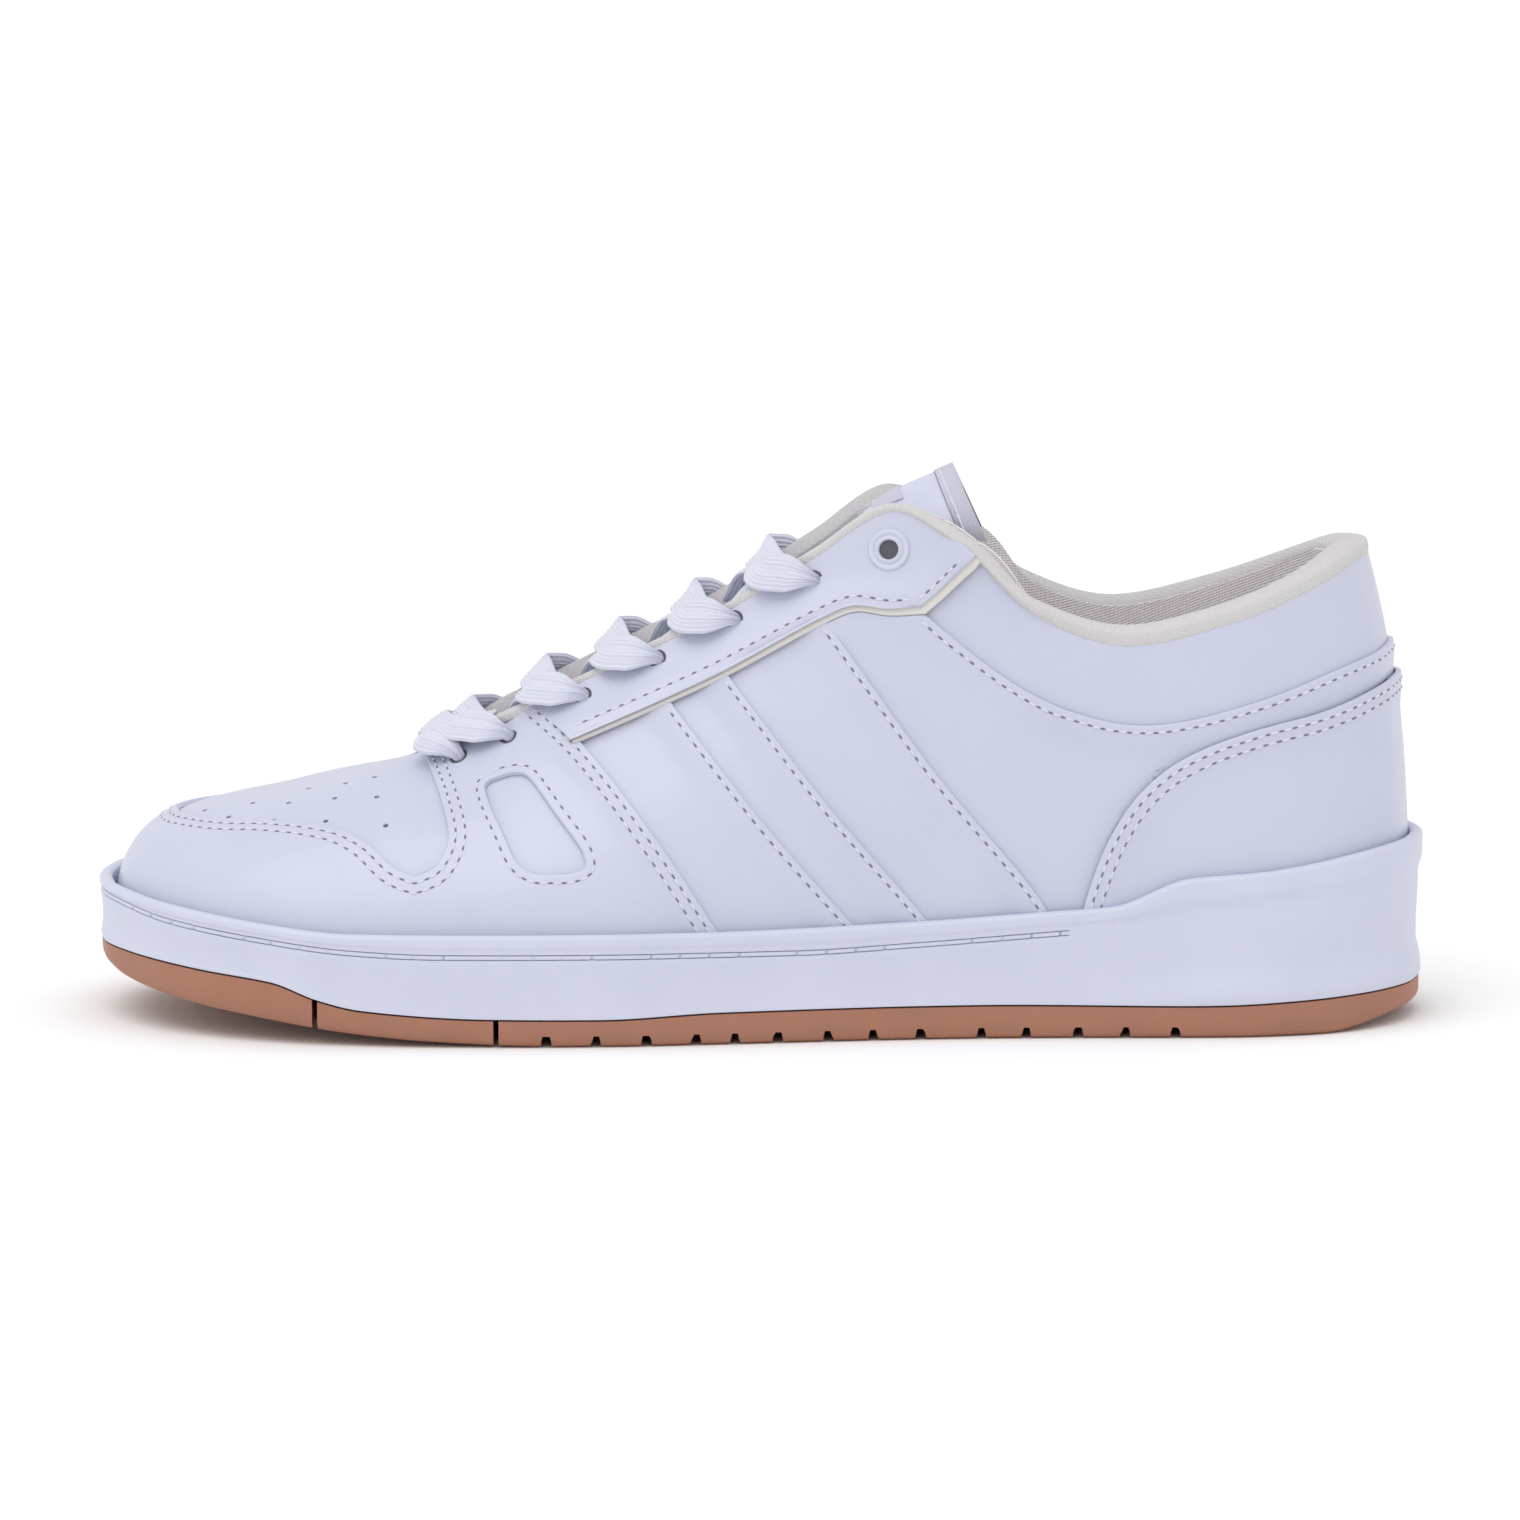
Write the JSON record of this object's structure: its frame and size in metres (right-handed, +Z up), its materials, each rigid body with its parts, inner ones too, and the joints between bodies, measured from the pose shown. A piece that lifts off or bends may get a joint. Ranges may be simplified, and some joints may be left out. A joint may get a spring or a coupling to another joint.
{
  "type": "court shoe",
  "caption": "Low lace-up court shoe for the left foot, smooth leather panels on a rubber cupsole with a gum outsole.",
  "frame": {"origin": "on the ground under the middle of the sole's length and width", "axes": "-X toward the toe, -Y toward the lateral side, +Z up"},
  "size_m": [0.3, 0.106, 0.1241],
  "materials": {
    "gum_rubber": "matte gum rubber",
    "cup_rubber": "satin white rubber",
    "foam": "open foam",
    "board": "matte fibre board",
    "leather": "smooth coated leather",
    "lining_mesh": "knitted lining mesh",
    "binding_tape": "woven tape",
    "lace_cotton": "flat woven lace"
  },
  "bodies": {
    "root": {"outsole_toe": "gum_rubber", "outsole_forefoot": "gum_rubber", "outsole_rear": "gum_rubber", "midsole_cup": "cup_rubber", "eyelet_lateral": "cup_rubber", "eyelet_medial": "cup_rubber", "midsole_foam": "foam", "collar_foam": "foam", "tongue_lower_foam": "foam", "lasting_board": "board", "toe_puff": "board", "heel_counter": "board", "vamp": "leather", "quarter_lateral": "leather", "quarter_medial": "leather", "mudguard": "leather", "heel_overlay": "leather", "collar_panel": "leather", "tongue_lower": "leather", "side_panel_front_lateral": "leather", "side_panel_front_medial": "leather", "side_panel_mid_lateral": "leather", "side_panel_mid_medial": "leather", "side_panel_rear_lateral": "leather", "side_panel_rear_medial": "leather", "quarter_overlay_lateral": "leather", "quarter_overlay_medial": "leather", "eyestay_lateral": "leather", "eyestay_medial": "leather", "vamp_lining": "lining_mesh", "quarter_lining_lateral": "lining_mesh", "quarter_lining_medial": "lining_mesh", "collar_lining": "lining_mesh", "tongue_lower_lining": "lining_mesh", "collar_binding": "binding_tape", "lace_bar": "lace_cotton", "lace_2_lateral": "lace_cotton", "lace_2_medial": "lace_cotton", "lace_3_lateral": "lace_cotton", "lace_3_medial": "lace_cotton", "lace_4_lateral": "lace_cotton", "lace_4_medial": "lace_cotton", "lace_5_lateral": "lace_cotton", "lace_5_medial": "lace_cotton", "lace_6_lateral": "lace_cotton", "lace_6_medial": "lace_cotton"},
    "tongue_flap": {"tongue_flap": "leather", "tongue_flap_foam": "foam", "tongue_flap_lining": "lining_mesh", "tongue_binding": "binding_tape", "tongue_label": "binding_tape"},
    "sockliner": {"sockliner": "lining_mesh"}
  },
  "joints": [
    {"name": "tongue_hinge", "type": "hinge", "parent": "root", "child": "tongue_flap", "pos_m": [0.0115, 0, 0.0985], "axis": [0, -1, 0], "range_deg": [-5, 30], "stiffness_Nm_per_rad": 0.05},
    {"name": "sockliner_lift", "type": "hinge", "parent": "root", "child": "sockliner", "pos_m": [-0.1385, 0, 0.0225], "axis": [0, -1, 0], "range_deg": [0, 4]}
  ]
}
